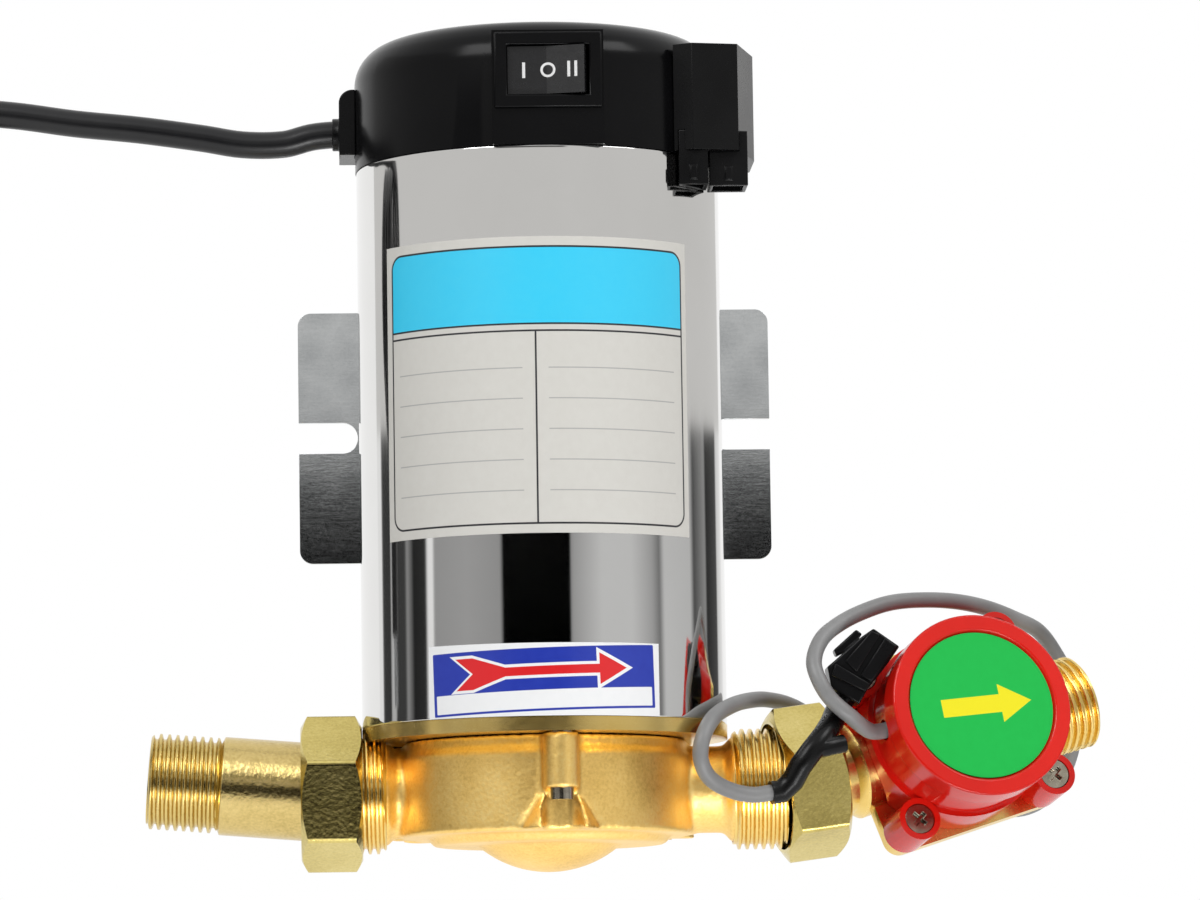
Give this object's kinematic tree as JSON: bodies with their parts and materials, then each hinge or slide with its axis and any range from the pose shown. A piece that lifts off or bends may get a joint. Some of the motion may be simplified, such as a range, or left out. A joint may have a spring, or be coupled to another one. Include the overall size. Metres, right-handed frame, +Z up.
{
  "type": "shower pump",
  "caption": "Upright canned-rotor shower booster pump on a wall bracket, with a union on each port and a flow switch on the outlet.",
  "frame": {"origin": "on the wall plane, midway between the bracket's two slots", "axes": "+X toward the outlet, +Y into the wall, +Z up"},
  "size_m": [0.3265, 0.0871, 0.1828],
  "materials": {
    "shell_steel": "polished",
    "black_plastic": "satin",
    "black_gloss": "gloss",
    "cord_pvc": "matte",
    "grey_pvc": "satin",
    "bright_steel": "polished",
    "zinc_steel": "satin",
    "brass": "satin",
    "cast_brass": "rough",
    "label_silver": "satin",
    "label_white": "satin",
    "red_plastic": "gloss",
    "green_label": "satin",
    "board_green": "satin",
    "relay_blue": "satin",
    "capacitor_white": "satin",
    "lamination": "satin",
    "copper_wire": "satin",
    "rotor_steel": "satin",
    "bell_aluminium": "cast",
    "graphite": "satin",
    "rubber_black": "matte",
    "ivory_plastic": "satin",
    "magnet": "matte"
  },
  "bodies": {
    "housing": {"motor_shell": "shell_steel", "top_cap": "black_gloss", "switch_body": "black_gloss", "connector_box": "black_plastic", "socket_left": "black_plastic", "socket_right": "black_plastic", "cord_gland": "black_plastic", "mains_cord": "cord_pvc", "cord_coil": "cord_pvc", "cord_tail": "cord_pvc", "cord_tie": "black_plastic", "mains_plug": "cord_pvc", "plug_pins": "bright_steel", "cap_screws": "bright_steel", "run_capacitor": "capacitor_white", "control_board": "board_green", "relay": "relay_blue", "terminal_block": "board_green", "end_bell": "bell_aluminium", "stator_core": "lamination", "stator_windings": "copper_wire", "rotor_can": "rotor_steel", "upper_bearing": "graphite", "lower_bearing": "graphite", "bearing_plate": "rotor_steel", "flange_plate": "brass", "body_bolts": "zinc_steel", "body_oring": "rubber_black", "pump_body": "cast_brass", "wall_bracket": "zinc_steel", "rating_label": "label_silver", "arrow_label": "label_white", "inlet_gasket": "rubber_black", "inlet_tailpiece": "brass", "outlet_gasket": "rubber_black", "switch_tube": "brass", "switch_housing": "red_plastic", "switch_cap": "red_plastic", "switch_label": "green_label", "housing_screws": "bright_steel", "shuttle_spring": "bright_steel", "shuttle_stop": "bright_steel", "reed_board": "board_green", "signal_cable": "grey_pvc", "cable_boot": "black_plastic", "signal_plug": "black_plastic"},
    "rotor": {"rotor_core": "rotor_steel", "rotor_shaft": "bright_steel", "impeller": "ivory_plastic", "impeller_nut": "bright_steel"},
    "rocker": {"rocker": "black_gloss"},
    "inlet_nut": {"inlet_nut": "brass"},
    "outlet_nut": {"outlet_nut": "brass"},
    "shuttle": {"flow_shuttle": "magnet"}
  },
  "joints": [
    {"name": "rotor_spin", "type": "hinge", "parent": "housing", "child": "rotor", "pos_m": [0, -0.0445, -0.0332], "axis": [0, 0, 1], "continuous": true},
    {"name": "rocker_tilt", "type": "hinge", "parent": "housing", "child": "rocker", "pos_m": [0.00135, -0.0831, 0.07], "axis": [0, 0, 1], "range_deg": [0, 20]},
    {"name": "inlet_nut_turn", "type": "hinge", "parent": "housing", "child": "inlet_nut", "pos_m": [-0.045, -0.0445, -0.0832], "axis": [-1, 0, 0], "continuous": true},
    {"name": "outlet_nut_turn", "type": "hinge", "parent": "housing", "child": "outlet_nut", "pos_m": [0.0504, -0.0446, -0.0828], "axis": [0.9789, 0.155, 0.1331], "continuous": true},
    {"name": "shuttle_slide", "type": "slide", "parent": "housing", "child": "shuttle", "axis": [0.9156, 0.2975, 0.2706], "range_m": [0, 0.006], "stiffness_N_per_m": 30, "springref_m": -0.01, "deforming": ["shuttle_spring"]}
  ]
}
